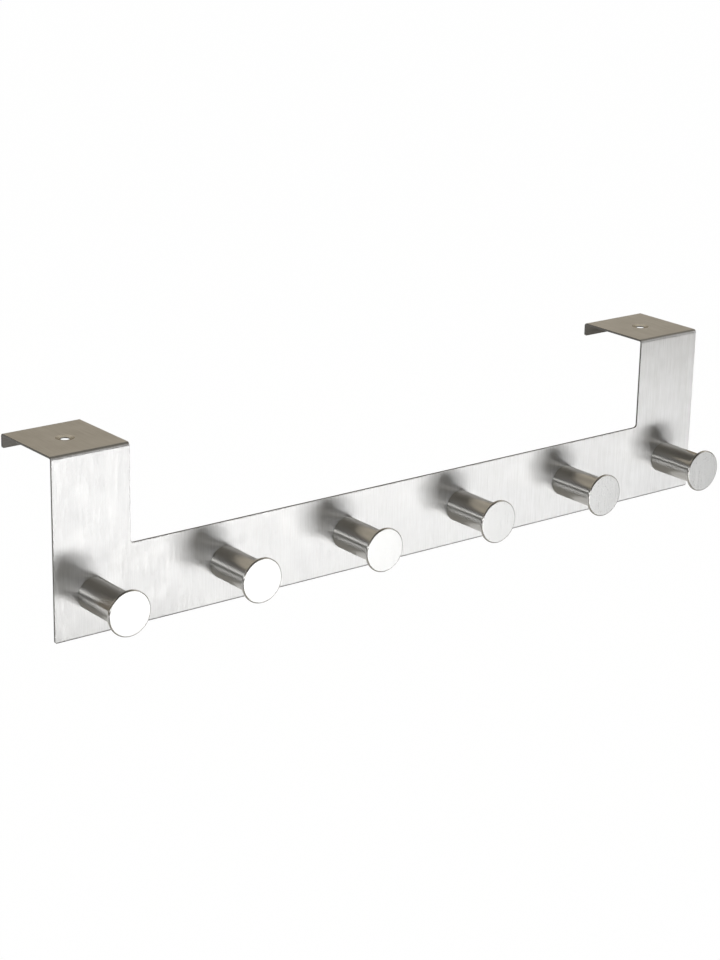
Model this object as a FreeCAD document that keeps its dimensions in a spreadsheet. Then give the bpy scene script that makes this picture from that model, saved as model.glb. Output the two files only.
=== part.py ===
import FreeCAD, Part
import Sketcher
import math
import os

# Over door hook: a folded stainless sheet with six turned pegs, each held by a flat-head
# screw from the back of the sheet.
# Millimetres. X runs along the rack, the door is on the +Y side, +Z is up.
# The origin is on the sheet's back face, in the middle of the rack, at the height of the pegs.


# Driving sizes

# Length of the rack along the door
rack_length = 400.0
# Height of the front bar
bar_height = 40.0
# Lower edge of the bar to the top of the straps
rack_height = 88.0
# Width of each end tab, of its strap and of its lip
tab_width = 40.5
# Thickness of the sheet
gauge = 1.0
# Inside radius of each fold
bend_inside = 0.6
# Clear space for the door leaf between the tabs and the lips
door_gap = 42.0
# Top of a strap to the lower edge of its lip
lip_height = 7.0
# Radius where a tab rises from the bar
notch_radius = 1.8
# Rounding of the sheet's free corners
corner_radius = 1.0

# Diameter of the screw hole in each strap
strap_hole = 4.4
# Width of the coined sink round a strap hole, on the radius
sink_rim = 2.3
# Depth of the coined sink
sink_depth = 0.5

# Pegs on the bar
peg_count = 6
# Front of the bar to the face of a peg's head
peg_length = 31.0
# Diameter of a peg's shank
shank_diameter = 16.0
# How far the disc head stands out past the shank, on the radius
head_overhang = 3.0
# Thickness of the disc head
head_thickness = 1.4
# Flare from the shank to the head, along the peg and on the radius
throat = 1.2

# Nominal diameter of the screws that hold the pegs
screw_diameter = 3.0
# Overall length of a screw
screw_length = 8.0
# How far a screw's head stands out past its thread, on the radius
screw_rim = 1.5
# Angle of a screw's conical head, in degrees
head_angle = 90.0
# How far a screw's head lies below the back of the sheet
head_sunk = 0.1
# Hex socket of a screw, across flats
socket_flats = 2.0
# Depth of the hex socket
socket_depth = 1.1
# Room round a screw's thread in the sheet, on the radius
hole_clearance = 0.2
# Least bevel at the mouth of a peg's tapped bore, on the radius
mouth_edge = 0.3
# Tapped bore beyond the end of its screw
bore_runout = 1.5
# Clearance between a screw and its seat, on the radius
fit_gap = 0.05

driving_sizes = {
    "rack_length": rack_length,
    "bar_height": bar_height,
    "rack_height": rack_height,
    "tab_width": tab_width,
    "gauge": gauge,
    "bend_inside": bend_inside,
    "door_gap": door_gap,
    "lip_height": lip_height,
    "notch_radius": notch_radius,
    "corner_radius": corner_radius,
    "strap_hole": strap_hole,
    "sink_rim": sink_rim,
    "sink_depth": sink_depth,
    "peg_count": peg_count,
    "peg_length": peg_length,
    "shank_diameter": shank_diameter,
    "head_overhang": head_overhang,
    "head_thickness": head_thickness,
    "throat": throat,
    "screw_diameter": screw_diameter,
    "screw_length": screw_length,
    "screw_rim": screw_rim,
    "head_angle": head_angle,
    "head_sunk": head_sunk,
    "socket_flats": socket_flats,
    "socket_depth": socket_depth,
    "hole_clearance": hole_clearance,
    "mouth_edge": mouth_edge,
    "bore_runout": bore_runout,
    "fit_gap": fit_gap,
}

doc = FreeCAD.newDocument("OverDoorHook")
sheet = doc.addObject("Spreadsheet::Sheet", "Sizes")
for row, (alias, value) in enumerate(driving_sizes.items(), 1):
    sheet.set("A" + str(row), alias.replace("_", " "))
    sheet.set("B" + str(row), str(value))
    sheet.setAlias("B" + str(row), alias)
doc.recompute()


# Places that several pieces share, as formulas over the size sheet

STRAP_TOP = "(Sizes.rack_height - Sizes.bar_height / 2)"
TAB_INSIDE = "(Sizes.rack_length / 2 - Sizes.tab_width)"
TAB_MIDDLE = "((Sizes.rack_length - Sizes.tab_width) / 2)"
PEG_SPACING = "(2 * " + TAB_MIDDLE + " / (Sizes.peg_count - 1))"

# The seat of a screw is one cone. It starts wide at the back of the sheet, and what is left
# of it at the front goes on into the mouth of the peg's bore.
CONE_SLOPE = "tan(Sizes.head_angle / 2)"
BORE = "(Sizes.screw_diameter / 2)"
SCREW_HEAD = "(" + BORE + " + Sizes.screw_rim)"
SEAT_BACK = "(" + SCREW_HEAD + " + Sizes.fit_gap + Sizes.head_sunk * " + CONE_SLOPE + ")"
SEAT_FRONT = "(" + SEAT_BACK + " - Sizes.gauge * " + CONE_SLOPE + ")"


# Sketching helpers

# How a sketch numbers the vertices of a curve, and its own origin
START = 1
END = 2
CENTRE = 3
ORIGIN_POINT = (-1, 1)
# Two places closer than this are the same place
SAME_PLACE = 0.01


def sheet_value(formula):
    """Work out a formula over the size sheet, as a plain number."""
    answer = sheet.evalExpression(formula)
    return float(getattr(answer, "Value", answer))


def peg_place(number):
    """Give the formula for the X of a peg, counted from 1 at the left."""
    return "(" + PEG_SPACING + " * " + str(number - 1) + " - " + TAB_MIDDLE + ")"


def origin_plane(body, role):
    """Find one of the body's own origin planes."""
    return [item for item in body.Origin.OriginFeatures if item.Role == role][0]


def new_body(name):
    """Start a sub-part with a label of its own."""
    body = doc.addObject("PartDesign::Body", name)
    body.Label = name
    return body


def new_sketch(body, role, name, lift=None):
    """Attach a sketch to an origin plane of its body, lifted off the plane by a formula."""
    sketch = body.newObject("Sketcher::SketchObject", name)
    sketch.AttachmentSupport = [(origin_plane(body, role), "")]
    sketch.MapMode = "FlatFace"
    if lift:
        sketch.setExpression("AttachmentOffset.Base.z", lift)
    return sketch


def hold_point(sketch, geometry, vertex, across, up):
    """Dimension a vertex from the sketch's origin by two formulas."""
    for kind, formula in (("DistanceX", across), ("DistanceY", up)):
        number = sheet_value(formula)
        rule = Sketcher.Constraint(kind, *ORIGIN_POINT, geometry, vertex, number)
        index = sketch.addConstraint(rule)
        sketch.setExpression("Constraints[" + str(index) + "]", formula)


def hold_radius(sketch, geometry, formula):
    """Dimension the radius of an arc or a circle by a formula."""
    rule = Sketcher.Constraint("Radius", geometry, sheet_value(formula))
    index = sketch.addConstraint(rule)
    sketch.setExpression("Constraints[" + str(index) + "]", formula)


def draw_circle(sketch, across, up, radius):
    """Draw a circle held by formulas for its centre and its radius."""
    centre = FreeCAD.Vector(sheet_value(across), sheet_value(up), 0)
    axis = FreeCAD.Vector(0, 0, 1)
    circle = sketch.addGeometry(Part.Circle(centre, axis, sheet_value(radius)), False)
    hold_point(sketch, circle, CENTRE, across, up)
    hold_radius(sketch, circle, radius)


def draw_arc(start, end, centre):
    """Make the short arc between two points, and say whether it runs backwards."""
    from_start = start - centre
    from_end = end - centre
    circle = Part.Circle(centre, FreeCAD.Vector(0, 0, 1), from_start.Length)
    start_angle = math.atan2(from_start.y, from_start.x)
    end_angle = math.atan2(from_end.y, from_end.x)
    clockwise = from_start.cross(from_end).z < 0
    if clockwise:
        start_angle, end_angle = end_angle, start_angle
    return Part.ArcOfCircle(circle, start_angle, end_angle), clockwise


def draw_outline(sketch, corners, arcs=None):
    """Close a ring through corners, each given by two formulas.

    arcs maps the number of a corner to the centre and the radius of the arc that leaves it.
    """
    arcs = arcs or {}
    points = []
    for across, up in corners:
        points.append(FreeCAD.Vector(sheet_value(across), sheet_value(up), 0))
    first_vertices = []
    last_vertices = []
    for number, start in enumerate(points):
        end = points[(number + 1) % len(points)]
        if number in arcs:
            across, up, radius = arcs[number]
            centre = FreeCAD.Vector(sheet_value(across), sheet_value(up), 0)
            curve, clockwise = draw_arc(start, end, centre)
            side = sketch.addGeometry(curve, False)
            hold_radius(sketch, side, radius)
        else:
            clockwise = False
            side = sketch.addGeometry(Part.LineSegment(start, end), False)
        first_vertices.append((side, END if clockwise else START))
        last_vertices.append((side, START if clockwise else END))
    for number, (side, vertex) in enumerate(first_vertices):
        before, before_vertex = last_vertices[number - 1]
        sketch.addConstraint(Sketcher.Constraint("Coincident", before, before_vertex, side, vertex))
        hold_point(sketch, side, vertex, *corners[number])


def revolve(body, sketch, name):
    """Turn a profile round the upright axis of its sketch."""
    turned = body.newObject("PartDesign::Revolution", name)
    turned.Profile = sketch
    turned.ReferenceAxis = (sketch, ["V_Axis"])
    return turned


# Rack plate: one sheet, notched to a bar with two tabs and folded twice at each tab

def fold_the_sheet(body):
    """Pad the folded section over the whole length."""
    front = "-Sizes.gauge"
    rear = "(Sizes.door_gap + Sizes.gauge)"
    strap_under = "(" + STRAP_TOP + " - Sizes.gauge)"
    bend_height = "(" + strap_under + " - Sizes.bend_inside)"
    rear_bend = "(Sizes.door_gap - Sizes.bend_inside)"
    outside = "(Sizes.bend_inside + Sizes.gauge)"
    bar_edge = "-Sizes.bar_height / 2"
    lip_edge = "(" + STRAP_TOP + " - Sizes.lip_height)"
    corners = [
        (front, bar_edge),
        (front, bend_height),
        ("Sizes.bend_inside", STRAP_TOP),
        (rear_bend, STRAP_TOP),
        (rear, bend_height),
        (rear, lip_edge),
        ("Sizes.door_gap", lip_edge),
        ("Sizes.door_gap", bend_height),
        (rear_bend, strap_under),
        ("Sizes.bend_inside", strap_under),
        ("0", bend_height),
        ("0", bar_edge),
    ]
    arcs = {
        1: ("Sizes.bend_inside", bend_height, outside),
        3: (rear_bend, bend_height, outside),
        7: (rear_bend, bend_height, "Sizes.bend_inside"),
        9: ("Sizes.bend_inside", bend_height, "Sizes.bend_inside"),
    }
    section = new_sketch(body, "YZ_Plane", "folded_section")
    draw_outline(section, corners, arcs)
    pad = body.newObject("PartDesign::Pad", "folded_sheet")
    pad.Profile = section
    pad.SideType = "Symmetric"
    pad.setExpression("Length", "Sizes.rack_length")
    return pad


def notch_between_tabs(body):
    """Cut away the sheet between the tabs, from the bar up and over the straps."""
    above = STRAP_TOP + " + Sizes.gauge"
    corners = [
        ("-" + TAB_INSIDE, "Sizes.bar_height / 2"),
        (TAB_INSIDE, "Sizes.bar_height / 2"),
        (TAB_INSIDE, above),
        ("-" + TAB_INSIDE, above),
    ]
    window = new_sketch(body, "XZ_Plane", "notch_outline")
    draw_outline(window, corners)
    notch = body.newObject("PartDesign::Pocket", "notch")
    notch.Profile = window
    notch.SideType = "Symmetric"
    notch.Type = "ThroughAll"
    return notch


def short_edges(feature, places):
    """Name the edges that run through the sheet at the given X, Z places."""
    names = []
    for number, edge in enumerate(feature.Shape.Edges, 1):
        box = edge.BoundBox
        if box.XLength > SAME_PLACE or box.ZLength > SAME_PLACE:
            continue
        for across, up in places:
            aside = abs(box.XMin - sheet_value(across))
            above = abs(box.ZMin - sheet_value(up))
            if aside < SAME_PLACE and above < SAME_PLACE:
                names.append("Edge" + str(number))
    return names


def round_corners(body, base, name, places, radius):
    """Round the sheet's corners at the given places."""
    doc.recompute()
    fillet = body.newObject("PartDesign::Fillet", name)
    fillet.Base = (base, short_edges(base, places))
    fillet.setExpression("Radius", radius)
    return fillet


def round_the_sheet(body, notch):
    """Round the notch's inner corners, the bar's ends and the ends of the lips."""
    end = "Sizes.rack_length / 2"
    lip_edge = STRAP_TOP + " - Sizes.lip_height"
    inner = []
    outer = []
    for side in ("-", ""):
        inner.append((side + TAB_INSIDE, "Sizes.bar_height / 2"))
        outer.append((side + end, "-Sizes.bar_height / 2"))
        outer.append((side + end, lip_edge))
        outer.append((side + TAB_INSIDE, lip_edge))
    notched = round_corners(body, notch, "notch_corners", inner, "Sizes.notch_radius")
    return round_corners(body, notched, "free_corners", outer, "Sizes.corner_radius")


def drill_sunk_holes(body, centres, name, hole, mouth, angle):
    """Drill each circle of a sketch through the sheet and widen its mouth to a cone."""
    doc.recompute()
    holes = body.newObject("PartDesign::Hole", name)
    holes.Profile = centres
    doc.recompute()
    holes.DepthType = "ThroughAll"
    holes.setExpression("Diameter", "2 * " + hole)
    holes.HoleCutType = "Countersink"
    holes.HoleCutCustomValues = True
    holes.setExpression("HoleCutDiameter", "2 * " + mouth)
    holes.setExpression("HoleCutCountersinkAngle", angle)
    return holes


def pierce_straps(body):
    """Cut the screw hole in the middle of each strap, with its shallow coined sink."""
    hole = "(Sizes.strap_hole / 2)"
    mouth = "(" + hole + " + Sizes.sink_rim)"
    centres = new_sketch(body, "XY_Plane", "strap_hole_centres", STRAP_TOP)
    for side in ("-", ""):
        draw_circle(centres, side + TAB_MIDDLE, "Sizes.door_gap / 2", hole)
    angle = "2 * atan(Sizes.sink_rim / Sizes.sink_depth)"
    drill_sunk_holes(body, centres, "strap_holes", hole, mouth, angle)


def cut_screw_seats(body):
    """Countersink the back of the bar behind each peg, right through the sheet."""
    hole = "(" + BORE + " + Sizes.hole_clearance)"
    centres = new_sketch(body, "XZ_Plane", "screw_seat_centres")
    for number in range(1, peg_count + 1):
        draw_circle(centres, peg_place(number), "0", hole)
    seats = drill_sunk_holes(body, centres, "screw_seats", hole, SEAT_BACK, "Sizes.head_angle")
    # The cone is wide at the sketch, so the drill runs along its normal, to the front
    seats.Reversed = True


def make_rack_plate():
    """Fold, notch, round and pierce the sheet."""
    body = new_body("rack_plate")
    fold_the_sheet(body)
    notch = notch_between_tabs(body)
    round_the_sheet(body, notch)
    pierce_straps(body)
    cut_screw_seats(body)
    return body


# Pegs: turned from bar, shank and disc head in one piece, tapped at the base

def make_peg(number):
    """Turn one peg about its axis and stand it on the front of the bar."""
    body = new_body("peg_" + str(number))
    shank = "(Sizes.shank_diameter / 2)"
    head = "(" + shank + " + Sizes.head_overhang)"
    face = "-Sizes.peg_length"
    head_back = "(Sizes.head_thickness - Sizes.peg_length)"
    mouth = "max(" + SEAT_FRONT + "; " + BORE + " + Sizes.mouth_edge)"
    mouth_end = "(" + BORE + " - " + mouth + ") / " + CONE_SLOPE
    screw_end = "(Sizes.screw_length + Sizes.head_sunk - Sizes.gauge)"
    bore_end = "(-" + screw_end + " - Sizes.bore_runout)"
    profile = new_sketch(body, "XY_Plane", "peg_profile_" + str(number))
    draw_outline(profile, [
        (mouth, "0"),
        (shank, "0"),
        (shank, head_back + " + Sizes.throat"),
        (shank + " + Sizes.throat", head_back),
        (head, head_back),
        (head, face),
        ("0", face),
        ("0", bore_end),
        (BORE, bore_end),
        (BORE, mouth_end),
    ])
    body.Tip = revolve(body, profile, "turned_peg_" + str(number))
    body.setExpression("Placement.Base.x", peg_place(number))
    body.setExpression("Placement.Base.y", "-Sizes.gauge")
    return body


# Peg screws: flat-head screws, just below the back of the sheet

def make_peg_screw(number):
    """Turn one screw about its axis, cut its hex socket and sink it in its seat."""
    body = new_body("peg_screw_" + str(number))
    shank = "(" + BORE + " - Sizes.fit_gap)"
    cone_end = "(" + shank + " - " + SCREW_HEAD + ") / " + CONE_SLOPE
    profile = new_sketch(body, "XY_Plane", "screw_profile_" + str(number))
    draw_outline(profile, [
        ("0", "0"),
        (SCREW_HEAD, "0"),
        (shank, cone_end),
        (shank, "-Sizes.screw_length"),
        ("0", "-Sizes.screw_length"),
    ])
    revolve(body, profile, "turned_screw_" + str(number))
    side = "Sizes.socket_flats / 2"
    point = "Sizes.socket_flats / sqrt(3)"
    hexagon = new_sketch(body, "XZ_Plane", "socket_outline_" + str(number))
    draw_outline(hexagon, [
        (point, "0"),
        (point + " / 2", side),
        ("-" + point + " / 2", side),
        ("-" + point, "0"),
        ("-" + point + " / 2", "-" + side),
        (point + " / 2", "-" + side),
    ])
    socket = body.newObject("PartDesign::Pocket", "socket_" + str(number))
    socket.Profile = hexagon
    socket.Reversed = True
    socket.setExpression("Length", "Sizes.socket_depth")
    body.Tip = socket
    body.setExpression("Placement.Base.x", peg_place(number))
    body.setExpression("Placement.Base.y", "-Sizes.head_sunk")
    return body


# The whole rack: the sheet, then each peg with its screw

sub_parts = [make_rack_plate()]
for peg_number in range(1, peg_count + 1):
    sub_parts.append(make_peg(peg_number))
    sub_parts.append(make_peg_screw(peg_number))
doc.recompute()

for item in doc.Objects:
    if "Invalid" in item.State or "Error" in item.State:
        raise RuntimeError(item.Label + " failed: " + str(item.State))

for part in sub_parts:
    if part.Shape.isNull() or not part.Shape.isValid():
        raise RuntimeError(part.Label + " has no valid shape")

os.makedirs("parts", exist_ok=True)
for part in sub_parts:
    part.Shape.exportStep("parts/" + part.Label + ".step")
    print(part.Label, "solids", len(part.Shape.Solids), "volume", round(part.Shape.Volume, 2))
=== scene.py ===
import math

import bmesh
import bpy
from mathutils import Matrix, Vector


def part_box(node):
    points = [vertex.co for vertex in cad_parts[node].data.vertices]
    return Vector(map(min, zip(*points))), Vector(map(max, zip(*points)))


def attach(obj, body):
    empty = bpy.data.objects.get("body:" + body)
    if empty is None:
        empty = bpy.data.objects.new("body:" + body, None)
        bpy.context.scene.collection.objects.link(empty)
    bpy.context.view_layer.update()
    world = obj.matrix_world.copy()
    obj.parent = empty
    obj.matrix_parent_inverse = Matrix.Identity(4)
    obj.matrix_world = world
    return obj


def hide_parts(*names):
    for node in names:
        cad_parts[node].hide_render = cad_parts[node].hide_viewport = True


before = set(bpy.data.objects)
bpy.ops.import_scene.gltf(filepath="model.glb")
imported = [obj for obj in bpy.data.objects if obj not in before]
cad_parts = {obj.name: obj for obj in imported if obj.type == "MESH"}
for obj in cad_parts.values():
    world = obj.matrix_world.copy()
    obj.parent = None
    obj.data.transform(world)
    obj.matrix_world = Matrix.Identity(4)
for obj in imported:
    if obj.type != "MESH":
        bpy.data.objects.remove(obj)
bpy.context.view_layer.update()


# Rack plate: a strip of 1 mm stainless steel, AISI 304, linished along its short side with a
# belt of about 180 grit, blanked with its notch, and folded twice at each end tab. The belt's
# scratches run up the tabs and over the straps, so a reflection smears across them.

MM = 0.001
SHEET_TINT = "#E9E9E9"
SHEET_SCRATCH_TINT = "#D9D9D8"
SHEET_EDGE_TINT = "#858482"
SHEET_SINK_TINT = "#D6D4CF"
SHEET_BACK_TINT = "#C2C1BF"
SHEET_ROLL_TINT = "#AFAEAC"
# A 180 grit scratch is about 0.05 mm wide, too fine to show here. It is drawn 0.5 mm wide,
# among soft bands of 2 mm that the belt leaves where it pressed harder.
SCRATCH_WIDTH = 0.5 * MM
SCRATCH_LENGTH = 14 * MM
SCRATCH_DEPTH = 0.015 * MM
BAND_WIDTH = 2 * MM
BAND_LENGTH = 70 * MM
BAND_SHARE = 0.3
# A worn belt cuts unevenly and leaves soft clouds a finger wide
CLOUD_SIZE = 11 * MM
CLOUD_SHARE = 0.35
# Noise seldom leaves this range, so it is spread from here to the whole of 0 to 1
NOISE_RANGE = (0.38, 0.62)
SHEET_ROUGHNESS = (0.34, 0.42)
# A strip along the lower edge of the front is painted darker, down to the edge tint: painted shade for
# the dark line along that edge
LOWER_EDGE = -20 * MM
LOWER_SHADE_WIDTH = 0.7 * MM
LOWER_SHADE_CORE = 0.4 * LOWER_SHADE_WIDTH
# The deburring wheel rounds each cut edge over half of the gauge and leaves it grainy
DEBURR_RADIUS = 0.5 * MM
BEVEL_SAMPLES = 8
EDGE_GRAIN = 0.4 * MM
EDGE_ROUGHNESS = (0.42, 0.6)
# The mill's rolls leave finer lines along the strip, drawn 1.2 mm apart on its back
ROLL_LINE_WIDTH = 1.2 * MM
ROLL_LINE_LENGTH = 50 * MM
ROLL_CLOUD_SIZE = 9 * MM
ROLL_CLOUD_SHARE = 0.45
BACK_ROUGHNESS = (0.28, 0.36)
# The punch burnishes the sink, and its chatter dulls spots of about a millimetre
CHATTER_SIZE = 0.8 * MM
SINK_ROUGHNESS = (0.2, 0.32)


def linear(hex_colour):
    """Turn an sRGB hex colour into the linear colour that a shader takes."""
    channels = []
    for start in (1, 3, 5):
        value = int(hex_colour[start:start + 2], 16) / 255
        if value <= 0.04045:
            channels.append(value / 12.92)
        else:
            channels.append(((value + 0.055) / 1.055) ** 2.4)
    return (*channels, 1.0)


def add_node(tree, kind, settings, links):
    """Add a shader node, fill its sockets or properties, and link its inputs."""
    node = tree.nodes.new(kind)
    for name, value in settings.items():
        if hasattr(node, name):
            setattr(node, name, value)
        else:
            node.inputs[name].default_value = value
    for name, source in links.items():
        tree.links.new(source, node.inputs[name])
    return node


def start_material(name):
    """Make an empty node material and give it with its tree."""
    material = bpy.data.materials.new(name)
    material.use_nodes = True
    material.node_tree.nodes.clear()
    return material, material.node_tree


def belt_marks(tree, width, length):
    """Streaks of this width along X and length up the sheet and over its straps, 0 to 1."""
    place = add_node(tree, "ShaderNodeTexCoord", {}, {})
    axes = add_node(tree, "ShaderNodeSeparateXYZ", {}, {"Vector": place.outputs["Object"]})
    along = add_node(tree, "ShaderNodeMath", {"operation": "ADD"}, {})
    tree.links.new(axes.outputs["Y"], along.inputs[0])
    tree.links.new(axes.outputs["Z"], along.inputs[1])
    unfolded = add_node(tree, "ShaderNodeCombineXYZ", {}, {
        "X": axes.outputs["X"], "Y": along.outputs["Value"]})
    spread = add_node(tree, "ShaderNodeVectorMath", {"operation": "MULTIPLY"}, {})
    spread.inputs[1].default_value = (1 / width, 1 / length, 0)
    tree.links.new(unfolded.outputs["Vector"], spread.inputs[0])
    streaks = add_node(tree, "ShaderNodeTexNoise", {
        "noise_dimensions": "2D", "Scale": 1.0, "Detail": 3.0, "Roughness": 0.55,
    }, {"Vector": spread.outputs["Vector"]})
    return streaks.outputs["Fac"]


def make_linished_steel():
    """Stainless sheet off the belt: pale, streaked, and glossy along its scratches only."""
    material, tree = start_material("linished_stainless_sheet")
    scratches = belt_marks(tree, SCRATCH_WIDTH, SCRATCH_LENGTH)
    bands = belt_marks(tree, BAND_WIDTH, BAND_LENGTH)
    marks = add_node(tree, "ShaderNodeMix", {"data_type": "FLOAT", "Factor": BAND_SHARE}, {})
    tree.links.new(scratches, marks.inputs["A"])
    tree.links.new(bands, marks.inputs["B"])
    place = add_node(tree, "ShaderNodeTexCoord", {}, {})
    clouds = add_node(tree, "ShaderNodeTexNoise", {
        "Scale": 1 / CLOUD_SIZE, "Detail": 4.0}, {"Vector": place.outputs["Object"]})
    uneven = add_node(tree, "ShaderNodeMix", {"data_type": "FLOAT", "Factor": CLOUD_SHARE}, {})
    tree.links.new(marks.outputs["Result"], uneven.inputs["A"])
    tree.links.new(clouds.outputs["Fac"], uneven.inputs["B"])
    depth = add_node(tree, "ShaderNodeMapRange", {
        "From Min": NOISE_RANGE[0], "From Max": NOISE_RANGE[1],
    }, {"Value": uneven.outputs["Result"]})
    tint = add_node(tree, "ShaderNodeMix", {"data_type": "RGBA"}, {})
    tree.links.new(depth.outputs["Result"], tint.inputs["Factor"])
    tint.inputs[6].default_value = linear(SHEET_SCRATCH_TINT)
    tint.inputs[7].default_value = linear(SHEET_TINT)
    gloss = add_node(tree, "ShaderNodeMapRange", {
        "To Min": SHEET_ROUGHNESS[0], "To Max": SHEET_ROUGHNESS[1],
    }, {"Value": depth.outputs["Result"]})
    rounded = add_node(tree, "ShaderNodeBevel", {"samples": BEVEL_SAMPLES, "Radius": DEBURR_RADIUS}, {})
    height = add_node(tree, "ShaderNodeSeparateXYZ", {}, {"Vector": place.outputs["Object"]})
    # Painted shade: towards its lower edge the front fades to the dark edge tint
    lower_shade_fade = add_node(tree, "ShaderNodeMapRange", {
        "From Min": LOWER_EDGE + LOWER_SHADE_CORE, "From Max": LOWER_EDGE + LOWER_SHADE_WIDTH,
    }, {"Value": height.outputs["Z"]})
    with_lower_shade = add_node(tree, "ShaderNodeMix", {"data_type": "RGBA"}, {})
    tree.links.new(lower_shade_fade.outputs["Result"], with_lower_shade.inputs["Factor"])
    with_lower_shade.inputs[6].default_value = linear(SHEET_EDGE_TINT)
    tree.links.new(tint.outputs[2], with_lower_shade.inputs[7])
    relief = add_node(tree, "ShaderNodeBump", {
        "Strength": 1.0, "Distance": SCRATCH_DEPTH,
    }, {"Height": scratches, "Normal": rounded.outputs["Normal"]})
    across = add_node(tree, "ShaderNodeCombineXYZ", {"X": 1.0}, {})
    steel = add_node(tree, "ShaderNodeBsdfPrincipled", {
        "Metallic": 1.0, "Anisotropic": 1.0,
    }, {
        "Base Color": with_lower_shade.outputs[2],
        "Roughness": gloss.outputs["Result"],
        "Normal": relief.outputs["Normal"],
        "Tangent": across.outputs["Vector"],
    })
    add_node(tree, "ShaderNodeOutputMaterial", {}, {"Surface": steel.outputs["BSDF"]})
    return material


def make_blanked_edge():
    """The cut edge of the sheet: sheared, darker, and dull from deburring."""
    material, tree = start_material("blanked_stainless_edge")
    place = add_node(tree, "ShaderNodeTexCoord", {}, {})
    grain = add_node(tree, "ShaderNodeTexNoise", {
        "Scale": 1 / EDGE_GRAIN, "Detail": 3.0}, {"Vector": place.outputs["Object"]})
    gloss = add_node(tree, "ShaderNodeMapRange", {
        "To Min": EDGE_ROUGHNESS[0], "To Max": EDGE_ROUGHNESS[1],
    }, {"Value": grain.outputs["Fac"]})
    rounded = add_node(tree, "ShaderNodeBevel", {"samples": BEVEL_SAMPLES, "Radius": DEBURR_RADIUS}, {})
    steel = add_node(tree, "ShaderNodeBsdfPrincipled", {
        "Base Color": linear(SHEET_EDGE_TINT), "Metallic": 1.0,
    }, {"Roughness": gloss.outputs["Result"], "Normal": rounded.outputs["Normal"]})
    add_node(tree, "ShaderNodeOutputMaterial", {}, {"Surface": steel.outputs["BSDF"]})
    return material


def make_mill_finish():
    """The side of the sheet that lies on the door: as rolled, greyer, with faint long lines."""
    material, tree = start_material("rolled_stainless_back")
    roll_lines = belt_marks(tree, ROLL_LINE_LENGTH, ROLL_LINE_WIDTH)
    place = add_node(tree, "ShaderNodeTexCoord", {}, {})
    clouds = add_node(tree, "ShaderNodeTexNoise", {
        "Scale": 1 / ROLL_CLOUD_SIZE, "Detail": 4.0}, {"Vector": place.outputs["Object"]})
    marks = add_node(tree, "ShaderNodeMix", {"data_type": "FLOAT", "Factor": ROLL_CLOUD_SHARE}, {})
    tree.links.new(roll_lines, marks.inputs["A"])
    tree.links.new(clouds.outputs["Fac"], marks.inputs["B"])
    depth = add_node(tree, "ShaderNodeMapRange", {
        "From Min": NOISE_RANGE[0], "From Max": NOISE_RANGE[1],
    }, {"Value": marks.outputs["Result"]})
    tint = add_node(tree, "ShaderNodeMix", {"data_type": "RGBA"}, {})
    tree.links.new(depth.outputs["Result"], tint.inputs["Factor"])
    tint.inputs[6].default_value = linear(SHEET_ROLL_TINT)
    tint.inputs[7].default_value = linear(SHEET_BACK_TINT)
    gloss = add_node(tree, "ShaderNodeMapRange", {
        "To Min": BACK_ROUGHNESS[0], "To Max": BACK_ROUGHNESS[1],
    }, {"Value": depth.outputs["Result"]})
    steel = add_node(tree, "ShaderNodeBsdfPrincipled", {"Metallic": 1.0}, {
        "Base Color": tint.outputs[2], "Roughness": gloss.outputs["Result"]})
    add_node(tree, "ShaderNodeOutputMaterial", {}, {"Surface": steel.outputs["BSDF"]})
    return material


def make_coined_sink():
    """The shallow sink round each strap hole: burnished by the punch, so it shines evenly."""
    material, tree = start_material("coined_stainless_sink")
    place = add_node(tree, "ShaderNodeTexCoord", {}, {})
    chatter = add_node(tree, "ShaderNodeTexNoise", {
        "Scale": 1 / CHATTER_SIZE, "Detail": 3.0}, {"Vector": place.outputs["Object"]})
    gloss = add_node(tree, "ShaderNodeMapRange", {
        "To Min": SINK_ROUGHNESS[0], "To Max": SINK_ROUGHNESS[1],
    }, {"Value": chatter.outputs["Fac"]})
    steel = add_node(tree, "ShaderNodeBsdfPrincipled", {
        "Base Color": linear(SHEET_SINK_TINT), "Metallic": 1.0,
    }, {"Roughness": gloss.outputs["Result"]})
    add_node(tree, "ShaderNodeOutputMaterial", {}, {"Surface": steel.outputs["BSDF"]})
    return material


SHEET_GAUGE = 1 * MM
TAB_WIDTH = 40.5 * MM
SINK_RADIUS = 4.5 * MM
EDGE_SLOT = 1
BACK_SLOT = 2
SINK_SLOT = 3
# How far a face leans to X or Z tells the cut ends, the level edges and the sink's cone
END_LEAN = 0.3
LEVEL_LEAN = 0.9
FLAT_LEAN = 0.995
# A face whose middle lies deeper than this under the sheet's outer side is on its inner side
INNER_DEPTH = 0.7 * SHEET_GAUGE

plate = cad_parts["rack_plate"]
plate.data.materials.clear()
plate.data.materials.append(make_linished_steel())
plate.data.materials.append(make_blanked_edge())
plate.data.materials.append(make_mill_finish())
plate.data.materials.append(make_coined_sink())
sheet_low, sheet_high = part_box("rack_plate")
inside_front = sheet_low.y + INNER_DEPTH
inside_rear = sheet_high.y - INNER_DEPTH
inside_top = sheet_high.z - INNER_DEPTH
hole_x = sheet_high.x - TAB_WIDTH / 2
hole_y = (sheet_low.y + sheet_high.y) / 2
for polygon in plate.data.polygons:
    faces_end = abs(polygon.normal.x) > END_LEAN
    lies_level = abs(polygon.normal.z) > LEVEL_LEAN
    if faces_end or (lies_level and polygon.center.z < inside_top - SHEET_GAUGE):
        polygon.material_index = EDGE_SLOT
    elif inside_front < polygon.center.y < inside_rear and polygon.center.z < inside_top:
        polygon.material_index = BACK_SLOT
    from_hole = math.hypot(abs(polygon.center.x) - hole_x, polygon.center.y - hole_y)
    if from_hole < SINK_RADIUS and LEVEL_LEAN < polygon.normal.z < FLAT_LEAN:
        polygon.material_index = SINK_SLOT


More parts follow.
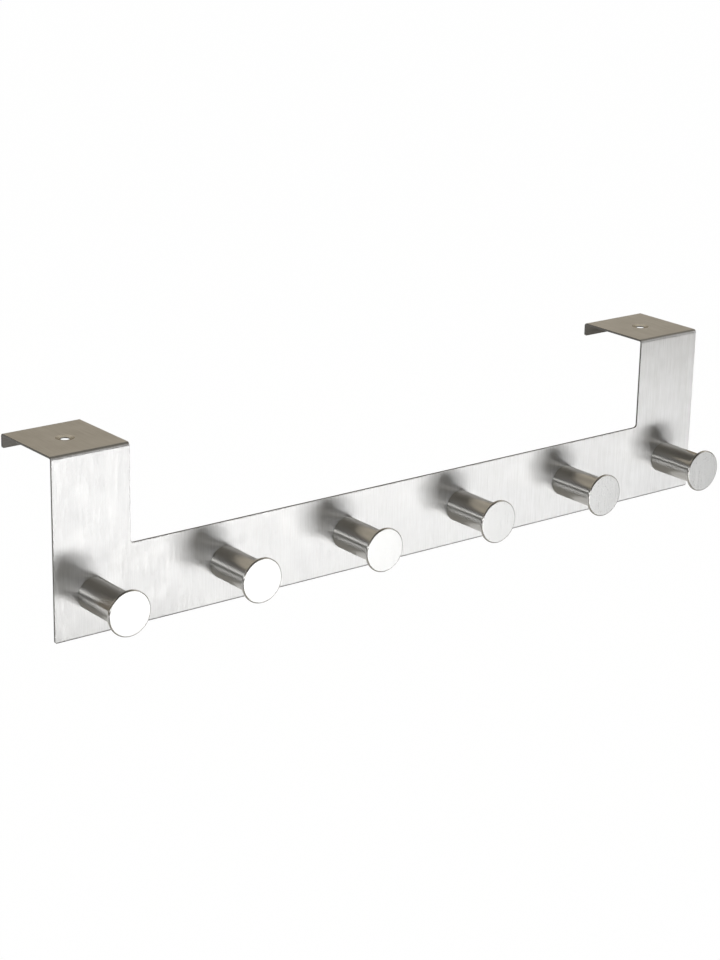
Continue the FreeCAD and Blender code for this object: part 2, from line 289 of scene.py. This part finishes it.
# Pegs: each is turned in one piece from 22 mm stainless bar, shank and disc head together.
# The shank is polished in the lathe, and the face of the head is linished upright like the
# sheet. It stands on the sheet and is pulled tight by a screw from behind.

PEG_COUNT = 6
SHANK_RADIUS = 8 * MM
HEAD_RADIUS = 11 * MM
PEG_LENGTH = 31 * MM
HEAD_THICKNESS = 1.4 * MM
THROAT_RADIUS = 1.8 * MM
BACK_ROUNDING = 0.2 * MM
FACE_ROUNDING = 0.6 * MM
BASE_BEVEL = 0.3 * MM
BORE_RADIUS = 1.5 * MM
BORE_MOUTH = 2.15 * MM
BORE_DEPTH = 8.6 * MM
TURNING_STEPS = 160
THROAT_STEPS = 12
BACK_STEPS = 4
FACE_STEPS = 8
MERGE_DISTANCE = 0.001 * MM
CREASE_ANGLE = math.radians(40)
SHANK_TINT = "#CDCCC9"
SHANK_ROUGHNESS = (0.16, 0.24)
# The tool's feed leaves rings about 0.05 mm apart. They are drawn 0.3 mm apart to show.
RING_SPACING = 0.3 * MM
RING_RANGE = (0.3, 0.7)
RING_DEPTH = 0.002 * MM
FACE_TINT = "#D5D5D4"
FACE_SCRATCH_TINT = "#C8C8C7"
FACE_ROUGHNESS = (0.27, 0.31)
# The sawn end of a bar is grainier than rolled sheet, and the grain breaks the scratches up
FACE_GRAIN = 0.5 * MM
FACE_GRAIN_SHARE = 0.6
FACE_SLOT = 1
FACE_LEAN = 0.99


def quarter_arc(centre, radius, start, steps):
    """Points of a quarter circle in the lathe's plane, from the angle start, in degrees."""
    points = []
    for step in range(steps + 1):
        angle = math.radians(start + 90 * step / steps)
        points.append((centre[0] + radius * math.cos(angle), centre[1] + radius * math.sin(angle)))
    return points


def turn_on_lathe(name, profile, place):
    """Turn a profile of (radius, distance out) about the axis through place, along -Y."""
    work = bmesh.new()
    corners = []
    for radius, out in profile:
        corners.append(work.verts.new((place.x + radius, place.y - out, place.z)))
    for start, end in zip(corners, corners[1:]):
        work.edges.new((start, end))
    bmesh.ops.spin(work, geom=work.verts[:] + work.edges[:], cent=place, axis=(0, 1, 0),
                   angle=math.tau, steps=TURNING_STEPS, use_merge=True)
    bmesh.ops.remove_doubles(work, verts=work.verts, dist=MERGE_DISTANCE)
    bmesh.ops.recalc_face_normals(work, faces=work.faces)
    mesh = bpy.data.meshes.new(name)
    work.to_mesh(mesh)
    work.free()
    piece = bpy.data.objects.new(name, mesh)
    bpy.context.scene.collection.objects.link(piece)
    mesh.shade_smooth()
    mesh.set_sharp_from_angle(angle=CREASE_ANGLE)
    even = piece.modifiers.new("flat faces stay flat", "WEIGHTED_NORMAL")
    even.keep_sharp = True
    return piece


def make_turned_steel():
    """Shank and rim, polished in the lathe: dark and clear, with faint rings."""
    material, tree = start_material("turned_stainless_shank")
    place = add_node(tree, "ShaderNodeTexCoord", {}, {})
    axes = add_node(tree, "ShaderNodeSeparateXYZ", {}, {"Vector": place.outputs["Object"]})
    count = add_node(tree, "ShaderNodeMath", {"operation": "MULTIPLY"}, {})
    count.inputs[1].default_value = 1 / RING_SPACING
    tree.links.new(axes.outputs["Y"], count.inputs[0])
    rings = add_node(tree, "ShaderNodeTexNoise", {
        "noise_dimensions": "1D", "Scale": 1.0, "Detail": 3.0}, {"W": count.outputs["Value"]})
    gloss = add_node(tree, "ShaderNodeMapRange", {
        "From Min": RING_RANGE[0], "From Max": RING_RANGE[1],
        "To Min": SHANK_ROUGHNESS[0], "To Max": SHANK_ROUGHNESS[1],
    }, {"Value": rings.outputs["Fac"]})
    relief = add_node(tree, "ShaderNodeBump", {
        "Strength": 0.3, "Distance": RING_DEPTH}, {"Height": rings.outputs["Fac"]})
    along = add_node(tree, "ShaderNodeCombineXYZ", {"Y": 1.0}, {})
    steel = add_node(tree, "ShaderNodeBsdfPrincipled", {
        "Base Color": linear(SHANK_TINT), "Metallic": 1.0, "Anisotropic": 0.9,
    }, {
        "Roughness": gloss.outputs["Result"],
        "Normal": relief.outputs["Normal"],
        "Tangent": along.outputs["Vector"],
    })
    add_node(tree, "ShaderNodeOutputMaterial", {}, {"Surface": steel.outputs["BSDF"]})
    return material


def make_linished_face():
    """Face of the head: the sheet's upright belt finish, but grainier and a little glossier."""
    material, tree = start_material("linished_stainless_head")
    scratches = belt_marks(tree, SCRATCH_WIDTH, SCRATCH_LENGTH)
    place = add_node(tree, "ShaderNodeTexCoord", {}, {})
    grain = add_node(tree, "ShaderNodeTexNoise", {
        "Scale": 1 / FACE_GRAIN, "Detail": 3.0}, {"Vector": place.outputs["Object"]})
    marks = add_node(tree, "ShaderNodeMix", {"data_type": "FLOAT", "Factor": FACE_GRAIN_SHARE}, {})
    tree.links.new(scratches, marks.inputs["A"])
    tree.links.new(grain.outputs["Fac"], marks.inputs["B"])
    depth = add_node(tree, "ShaderNodeMapRange", {
        "From Min": NOISE_RANGE[0], "From Max": NOISE_RANGE[1],
    }, {"Value": marks.outputs["Result"]})
    tint = add_node(tree, "ShaderNodeMix", {"data_type": "RGBA"}, {})
    tree.links.new(depth.outputs["Result"], tint.inputs["Factor"])
    tint.inputs[6].default_value = linear(FACE_SCRATCH_TINT)
    tint.inputs[7].default_value = linear(FACE_TINT)
    gloss = add_node(tree, "ShaderNodeMapRange", {
        "To Min": FACE_ROUGHNESS[0], "To Max": FACE_ROUGHNESS[1],
    }, {"Value": depth.outputs["Result"]})
    relief = add_node(tree, "ShaderNodeBump", {
        "Strength": 0.3, "Distance": SCRATCH_DEPTH}, {"Height": marks.outputs["Result"]})
    across = add_node(tree, "ShaderNodeCombineXYZ", {"X": 1.0}, {})
    steel = add_node(tree, "ShaderNodeBsdfPrincipled", {
        "Metallic": 1.0, "Anisotropic": 1.0,
    }, {
        "Base Color": tint.outputs[2],
        "Roughness": gloss.outputs["Result"],
        "Normal": relief.outputs["Normal"],
        "Tangent": across.outputs["Vector"],
    })
    add_node(tree, "ShaderNodeOutputMaterial", {}, {"Surface": steel.outputs["BSDF"]})
    return material


head_back = PEG_LENGTH - HEAD_THICKNESS
throat_centre = (SHANK_RADIUS + THROAT_RADIUS, head_back - THROAT_RADIUS)
throat = quarter_arc(throat_centre, THROAT_RADIUS, 90, THROAT_STEPS)
back_centre = (HEAD_RADIUS - BACK_ROUNDING, head_back + BACK_ROUNDING)
back_rim = quarter_arc(back_centre, BACK_ROUNDING, -90, BACK_STEPS)
face_centre = (HEAD_RADIUS - FACE_ROUNDING, PEG_LENGTH - FACE_ROUNDING)
face_rim = quarter_arc(face_centre, FACE_ROUNDING, 0, FACE_STEPS)
peg_profile = [(0, BORE_DEPTH), (BORE_RADIUS, BORE_DEPTH)]
peg_profile += [(BORE_RADIUS, BORE_MOUTH - BORE_RADIUS), (BORE_MOUTH, 0)]
peg_profile += [(SHANK_RADIUS - BASE_BEVEL, 0), (SHANK_RADIUS, BASE_BEVEL)]
peg_profile += throat[::-1] + back_rim + face_rim + [(0, PEG_LENGTH)]

turned_steel = make_turned_steel()
linished_face = make_linished_face()
for number in range(1, PEG_COUNT + 1):
    node = "peg_" + str(number)
    peg_low, peg_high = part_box(node)
    axis_place = Vector(((peg_low.x + peg_high.x) / 2, peg_high.y, (peg_low.z + peg_high.z) / 2))
    peg = turn_on_lathe("turned_peg_" + str(number), peg_profile, axis_place)
    peg.data.materials.append(turned_steel)
    peg.data.materials.append(linished_face)
    for polygon in peg.data.polygons:
        if polygon.normal.y < -FACE_LEAN:
            polygon.material_index = FACE_SLOT
    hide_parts(node)
    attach(peg, "root")


# Peg screws: stainless M3 flat-head screws with a hex socket, cold headed and tumbled. Each
# lies just below the back of the sheet, so that the rack sits flat on the door.

SCREW_TINT = "#B9B8B4"
SCREW_ROUGHNESS = (0.22, 0.38)
DENT_SIZE = 0.6 * MM
DENT_DEPTH = 0.005 * MM


def make_tumbled_steel():
    """A screw as it comes from the tumbler: bright, with a soft uneven gloss."""
    material, tree = start_material("tumbled_stainless_screw")
    place = add_node(tree, "ShaderNodeTexCoord", {}, {})
    dents = add_node(tree, "ShaderNodeTexNoise", {
        "Scale": 1 / DENT_SIZE, "Detail": 4.0}, {"Vector": place.outputs["Object"]})
    gloss = add_node(tree, "ShaderNodeMapRange", {
        "To Min": SCREW_ROUGHNESS[0], "To Max": SCREW_ROUGHNESS[1],
    }, {"Value": dents.outputs["Fac"]})
    relief = add_node(tree, "ShaderNodeBump", {
        "Strength": 0.3, "Distance": DENT_DEPTH}, {"Height": dents.outputs["Fac"]})
    steel = add_node(tree, "ShaderNodeBsdfPrincipled", {
        "Base Color": linear(SCREW_TINT), "Metallic": 1.0,
    }, {"Roughness": gloss.outputs["Result"], "Normal": relief.outputs["Normal"]})
    add_node(tree, "ShaderNodeOutputMaterial", {}, {"Surface": steel.outputs["BSDF"]})
    return material


tumbled_steel = make_tumbled_steel()
for number in range(1, PEG_COUNT + 1):
    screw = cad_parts["peg_screw_" + str(number)]
    screw.data.materials.clear()
    screw.data.materials.append(tumbled_steel)


# Studio: a white table in a white room, lit by one soft box. Steel shows what stands round
# it, so a cloth dome, a card on the table, a striped screen, two boards and a flag give it
# the greys and warm greys of a workshop. Only its reflections show those.

# The studio's distances are in metres
FLOOR_DEPTH = 0.9
FLOOR_REACH = 12.0
FLOOR_TINT = "#F6F6F4"
FLOOR_ROUGHNESS = 0.8
FLOOR_GLOW = 0.95
BACKDROP_TINT = "#FFFFFF"
# The dome hangs round the table, to a little below its top
CLOTH_RADIUS = 5.0
CLOTH_HEM = -1.1 * FLOOR_DEPTH
CLOTH_DARK_TINT = "#4C4C4B"
# It is dark at the front left and fades to warm wall tints at the rear right
WALL_DIRECTION = (0.63, 0.78, 0)
WALL_FADE = (-0.9 * CLOTH_RADIUS, 0.5 * CLOTH_RADIUS)
# Height over the dome's radius, and the tint of the wall side there: warm, dark overhead
CLOTH_WALL_TINTS = ((0.0, "#8B8171"), (0.25, "#8B8171"), (0.38, "#938979"), (0.55, "#CDC4B4"),
                    (0.70, "#CDC4B4"), (0.82, "#4C4B4A"))
# The card lies on the table, grey near the rack and paler behind it
CARD_REACH = 4.9
CARD_LIFT = 1 * MM
CARD_FADE = (0.1, 1.2)
CARD_NEAR_TINT = "#A5A29B"
CARD_REAR_TINT = "#E8E7E5"
# The screen stands to the left, where the shanks show it as long stripes. Its azimuths, as
# those of the boards and the flag, are in degrees from the front, positive to the right.
SCREEN_RADIUS = 1.3
CURVE_STEPS = 24
SCREEN_AZIMUTHS = (-80, -14)
SCREEN_STRENGTH = 3.3
# Elevation in degrees, and the tint of the screen there: dark, with two bright strips
SCREEN_TINTS = ((-31, "#303030"), (-17, "#303030"), (-15, "#909090"), (-11, "#909090"),
                (-8, "#303030"), (1, "#303030"), (4, "#F4F4F4"), (10, "#F4F4F4"),
                (13, "#303030"))
# The white board is what the bar, the tabs and the heads shine with
BOARD_AZIMUTHS = (5, 33)
BOARD_ELEVATIONS = (-25.5, -11)
BOARD_TINT = "#FFFFFF"
BOARD_STRENGTH = 4.6
# The flag beside it keeps the right end of the bar darker
FLAG_AZIMUTHS = (33, 110)
FLAG_TINT = "#303030"
# The upper board shows as the pale line along each fold and in the tops of the shanks
UPPER_AZIMUTHS = (33, 78)
UPPER_ELEVATIONS = (10, 32)
UPPER_STRENGTH = 1.3
SOFT_BOX_AZIMUTH = 22
SOFT_BOX_ELEVATION = 35
SOFT_BOX_DISTANCE = 1.6
SOFT_BOX_SIZE = 1.2
SOFT_BOX_POWER = 3.0


def shows_background(tree):
    """1 for the rays that show the background: seen directly, in metal or through glass."""
    path = add_node(tree, "ShaderNodeLightPath", {}, {})
    either = add_node(tree, "ShaderNodeMath", {"operation": "MAXIMUM"}, {})
    tree.links.new(path.outputs["Is Camera Ray"], either.inputs[0])
    tree.links.new(path.outputs["Is Glossy Ray"], either.inputs[1])
    any_of_three = add_node(tree, "ShaderNodeMath", {"operation": "MAXIMUM"}, {})
    tree.links.new(either.outputs["Value"], any_of_three.inputs[0])
    tree.links.new(path.outputs["Is Transmission Ray"], any_of_three.inputs[1])
    return any_of_three.outputs["Value"]


def stage_mesh(name, mesh, material, seen_by_camera):
    """Put up a piece of the studio. One that the camera doesn't see shows in reflections only."""
    prop = bpy.data.objects.new(name, mesh)
    bpy.context.scene.collection.objects.link(prop)
    mesh.materials.append(material)
    prop.visible_camera = seen_by_camera
    prop.visible_diffuse = seen_by_camera
    prop.visible_shadow = seen_by_camera


def fill_stops(ramp, tints):
    """Set a colour ramp's stops from pairs of position and hex tint."""
    for position, _ in tints[1:-1]:
        ramp.elements.new(position)
    for stop, (position, tint) in zip(ramp.elements, tints):
        stop.position = position
        stop.color = linear(tint)


world = bpy.data.worlds.new("white_room")
world.use_nodes = True
world.node_tree.nodes.clear()
room = add_node(world.node_tree, "ShaderNodeBackground", {"Color": linear(BACKDROP_TINT)}, {})
add_node(world.node_tree, "ShaderNodeOutputWorld", {}, {"Surface": room.outputs["Background"]})
bpy.context.scene.world = world

table_material, table_tree = start_material("white_table")
table_paint = add_node(table_tree, "ShaderNodeBsdfPrincipled", {
    "Base Color": linear(FLOOR_TINT), "Roughness": FLOOR_ROUGHNESS}, {})
table_glow = add_node(table_tree, "ShaderNodeEmission", {"Color": linear(BACKDROP_TINT)}, {})
share = add_node(table_tree, "ShaderNodeMath", {"operation": "MULTIPLY"}, {})
table_tree.links.new(shows_background(table_tree), share.inputs[0])
share.inputs[1].default_value = FLOOR_GLOW
table_mix = add_node(table_tree, "ShaderNodeMixShader", {}, {"Fac": share.outputs["Value"]})
table_tree.links.new(table_paint.outputs["BSDF"], table_mix.inputs[1])
table_tree.links.new(table_glow.outputs["Emission"], table_mix.inputs[2])
add_node(table_tree, "ShaderNodeOutputMaterial", {}, {"Surface": table_mix.outputs["Shader"]})
table_top = bmesh.new()
bmesh.ops.create_grid(table_top, x_segments=1, y_segments=1, size=FLOOR_REACH,
                      matrix=Matrix.Translation((0, 0, -FLOOR_DEPTH)))
table_mesh = bpy.data.meshes.new("white_table")
table_top.to_mesh(table_mesh)
table_top.free()
stage_mesh("white_table", table_mesh, table_material, True)

cloth_material, cloth_tree = start_material("shop_cloth")
cloth_place = add_node(cloth_tree, "ShaderNodeTexCoord", {}, {})
towards_wall = add_node(cloth_tree, "ShaderNodeVectorMath", {"operation": "DOT_PRODUCT"}, {})
cloth_tree.links.new(cloth_place.outputs["Object"], towards_wall.inputs[0])
towards_wall.inputs[1].default_value = WALL_DIRECTION
side_share = add_node(cloth_tree, "ShaderNodeMapRange", {
    "From Min": WALL_FADE[0], "From Max": WALL_FADE[1],
}, {"Value": towards_wall.outputs["Value"]})
cloth_axes = add_node(cloth_tree, "ShaderNodeSeparateXYZ", {}, {
    "Vector": cloth_place.outputs["Object"]})
cloth_height = add_node(cloth_tree, "ShaderNodeMath", {"operation": "DIVIDE"}, {})
cloth_tree.links.new(cloth_axes.outputs["Z"], cloth_height.inputs[0])
cloth_height.inputs[1].default_value = CLOTH_RADIUS
wall_tint = add_node(cloth_tree, "ShaderNodeValToRGB", {}, {"Fac": cloth_height.outputs["Value"]})
fill_stops(wall_tint.color_ramp, CLOTH_WALL_TINTS)
cloth_tint = add_node(cloth_tree, "ShaderNodeMix", {"data_type": "RGBA"}, {})
cloth_tree.links.new(side_share.outputs["Result"], cloth_tint.inputs["Factor"])
cloth_tint.inputs[6].default_value = linear(CLOTH_DARK_TINT)
cloth_tree.links.new(wall_tint.outputs["Color"], cloth_tint.inputs[7])
cloth_glow = add_node(cloth_tree, "ShaderNodeEmission", {}, {"Color": cloth_tint.outputs[2]})
add_node(cloth_tree, "ShaderNodeOutputMaterial", {}, {"Surface": cloth_glow.outputs["Emission"]})
cloth = bmesh.new()
bmesh.ops.create_uvsphere(cloth, u_segments=64, v_segments=48, radius=CLOTH_RADIUS)
under_table = [vertex for vertex in cloth.verts if vertex.co.z < CLOTH_HEM]
bmesh.ops.delete(cloth, geom=under_table, context="VERTS")
cloth_mesh = bpy.data.meshes.new("shop_cloth")
cloth.to_mesh(cloth_mesh)
cloth.free()
stage_mesh("shop_cloth", cloth_mesh, cloth_material, False)

card_material, card_tree = start_material("grey_card")
card_place = add_node(card_tree, "ShaderNodeTexCoord", {}, {})
card_axes = add_node(card_tree, "ShaderNodeSeparateXYZ", {}, {
    "Vector": card_place.outputs["Object"]})
rear_share = add_node(card_tree, "ShaderNodeMapRange", {
    "From Min": CARD_FADE[0], "From Max": CARD_FADE[1],
}, {"Value": card_axes.outputs["Y"]})
card_tint = add_node(card_tree, "ShaderNodeMix", {"data_type": "RGBA"}, {})
card_tree.links.new(rear_share.outputs["Result"], card_tint.inputs["Factor"])
card_tint.inputs[6].default_value = linear(CARD_NEAR_TINT)
card_tint.inputs[7].default_value = linear(CARD_REAR_TINT)
card_glow = add_node(card_tree, "ShaderNodeEmission", {}, {"Color": card_tint.outputs[2]})
add_node(card_tree, "ShaderNodeOutputMaterial", {}, {"Surface": card_glow.outputs["Emission"]})
card = bmesh.new()
bmesh.ops.create_circle(card, cap_ends=True, segments=64, radius=CARD_REACH,
                        matrix=Matrix.Translation((0, 0, CARD_LIFT - FLOOR_DEPTH)))
card_mesh = bpy.data.meshes.new("grey_card")
card.to_mesh(card_mesh)
card.free()
stage_mesh("grey_card", card_mesh, card_material, False)


def standing_curve(name, azimuths, elevations):
    """A curved board that stands on edge round the rack, between two azimuths and elevations."""
    low = SCREEN_RADIUS * math.tan(math.radians(elevations[0]))
    high = SCREEN_RADIUS * math.tan(math.radians(elevations[1]))
    board = bmesh.new()
    rows = []
    for step in range(CURVE_STEPS + 1):
        turn = math.radians(azimuths[0] + (azimuths[1] - azimuths[0]) * step / CURVE_STEPS)
        foot = (SCREEN_RADIUS * math.sin(turn), -SCREEN_RADIUS * math.cos(turn))
        rows.append((board.verts.new((*foot, low)), board.verts.new((*foot, high))))
    for left, right in zip(rows, rows[1:]):
        board.faces.new((left[0], right[0], right[1], left[1]))
    mesh = bpy.data.meshes.new(name)
    board.to_mesh(mesh)
    board.free()
    return mesh


screen_low = SCREEN_RADIUS * math.tan(math.radians(SCREEN_TINTS[0][0]))
screen_high = SCREEN_RADIUS * math.tan(math.radians(SCREEN_TINTS[-1][0]))
screen_material, screen_tree = start_material("striped_screen")
screen_place = add_node(screen_tree, "ShaderNodeTexCoord", {}, {})
screen_axes = add_node(screen_tree, "ShaderNodeSeparateXYZ", {}, {
    "Vector": screen_place.outputs["Object"]})
screen_height = add_node(screen_tree, "ShaderNodeMapRange", {
    "From Min": screen_low, "From Max": screen_high}, {"Value": screen_axes.outputs["Z"]})
stripes = add_node(screen_tree, "ShaderNodeValToRGB", {}, {"Fac": screen_height.outputs["Result"]})
stripe_stops = []
for elevation, tint in SCREEN_TINTS:
    height = SCREEN_RADIUS * math.tan(math.radians(elevation))
    stripe_stops.append(((height - screen_low) / (screen_high - screen_low), tint))
fill_stops(stripes.color_ramp, stripe_stops)
screen_glow = add_node(screen_tree, "ShaderNodeEmission", {
    "Strength": SCREEN_STRENGTH}, {"Color": stripes.outputs["Color"]})
add_node(screen_tree, "ShaderNodeOutputMaterial", {}, {"Surface": screen_glow.outputs["Emission"]})
screen_mesh = standing_curve("striped_screen", SCREEN_AZIMUTHS,
                             (SCREEN_TINTS[0][0], SCREEN_TINTS[-1][0]))
stage_mesh("striped_screen", screen_mesh, screen_material, False)

board_material, board_tree = start_material("white_board")
board_glow = add_node(board_tree, "ShaderNodeEmission", {
    "Color": linear(BOARD_TINT), "Strength": BOARD_STRENGTH}, {})
add_node(board_tree, "ShaderNodeOutputMaterial", {}, {"Surface": board_glow.outputs["Emission"]})
board_mesh = standing_curve("white_board", BOARD_AZIMUTHS, BOARD_ELEVATIONS)
stage_mesh("white_board", board_mesh, board_material, False)

flag_material, flag_tree = start_material("grey_flag")
flag_glow = add_node(flag_tree, "ShaderNodeEmission", {"Color": linear(FLAG_TINT)}, {})
add_node(flag_tree, "ShaderNodeOutputMaterial", {}, {"Surface": flag_glow.outputs["Emission"]})
flag_mesh = standing_curve("grey_flag", FLAG_AZIMUTHS, BOARD_ELEVATIONS)
stage_mesh("grey_flag", flag_mesh, flag_material, False)

upper_material, upper_tree = start_material("upper_board")
upper_glow = add_node(upper_tree, "ShaderNodeEmission", {
    "Color": linear(BOARD_TINT), "Strength": UPPER_STRENGTH}, {})
add_node(upper_tree, "ShaderNodeOutputMaterial", {}, {"Surface": upper_glow.outputs["Emission"]})
upper_mesh = standing_curve("upper_board", UPPER_AZIMUTHS, UPPER_ELEVATIONS)
stage_mesh("upper_board", upper_mesh, upper_material, False)

soft_box = bpy.data.lights.new("soft_box", "AREA")
soft_box.size = SOFT_BOX_SIZE
soft_box.energy = SOFT_BOX_POWER
stand = bpy.data.objects.new("soft_box", soft_box)
turn = math.radians(SOFT_BOX_AZIMUTH)
tilt = math.radians(SOFT_BOX_ELEVATION)
towards = Vector((math.sin(turn) * math.cos(tilt), -math.cos(turn) * math.cos(tilt), math.sin(tilt)))
stand.location = towards * SOFT_BOX_DISTANCE
stand.rotation_euler = towards.to_track_quat("Z", "Y").to_euler()
stand.visible_glossy = False
bpy.context.scene.collection.objects.link(stand)


# Camera: from the front left, a little above the straps, with a long lens that is rolled
# slightly, as the photograph's lines show

CAMERA_AZIMUTH = math.radians(-38.19)
CAMERA_ELEVATION = math.radians(18.29)
CAMERA_ROLL = math.radians(1.18)
CAMERA_DISTANCE = 1139 * MM
CAMERA_TARGET = Vector((-27 * MM, 0, 25 * MM))
FOCAL_LENGTH = 87.71
NEAREST = 0.05
FURTHEST = 100

lens = bpy.data.cameras.new("photo_camera")
lens.lens = FOCAL_LENGTH
lens.clip_start = NEAREST
lens.clip_end = FURTHEST
camera = bpy.data.objects.new("photo_camera", lens)
bpy.context.scene.collection.objects.link(camera)
back = Vector((
    math.sin(CAMERA_AZIMUTH) * math.cos(CAMERA_ELEVATION),
    -math.cos(CAMERA_AZIMUTH) * math.cos(CAMERA_ELEVATION),
    math.sin(CAMERA_ELEVATION),
))
right = Vector((math.cos(CAMERA_AZIMUTH), math.sin(CAMERA_AZIMUTH), 0))
upright = Matrix((right, back.cross(right), back)).transposed()
camera.rotation_euler = (upright @ Matrix.Rotation(CAMERA_ROLL, 3, "Z")).to_euler()
camera.location = CAMERA_TARGET + back * CAMERA_DISTANCE
bpy.context.scene.camera = camera
bpy.context.scene.view_settings.view_transform = "Standard"
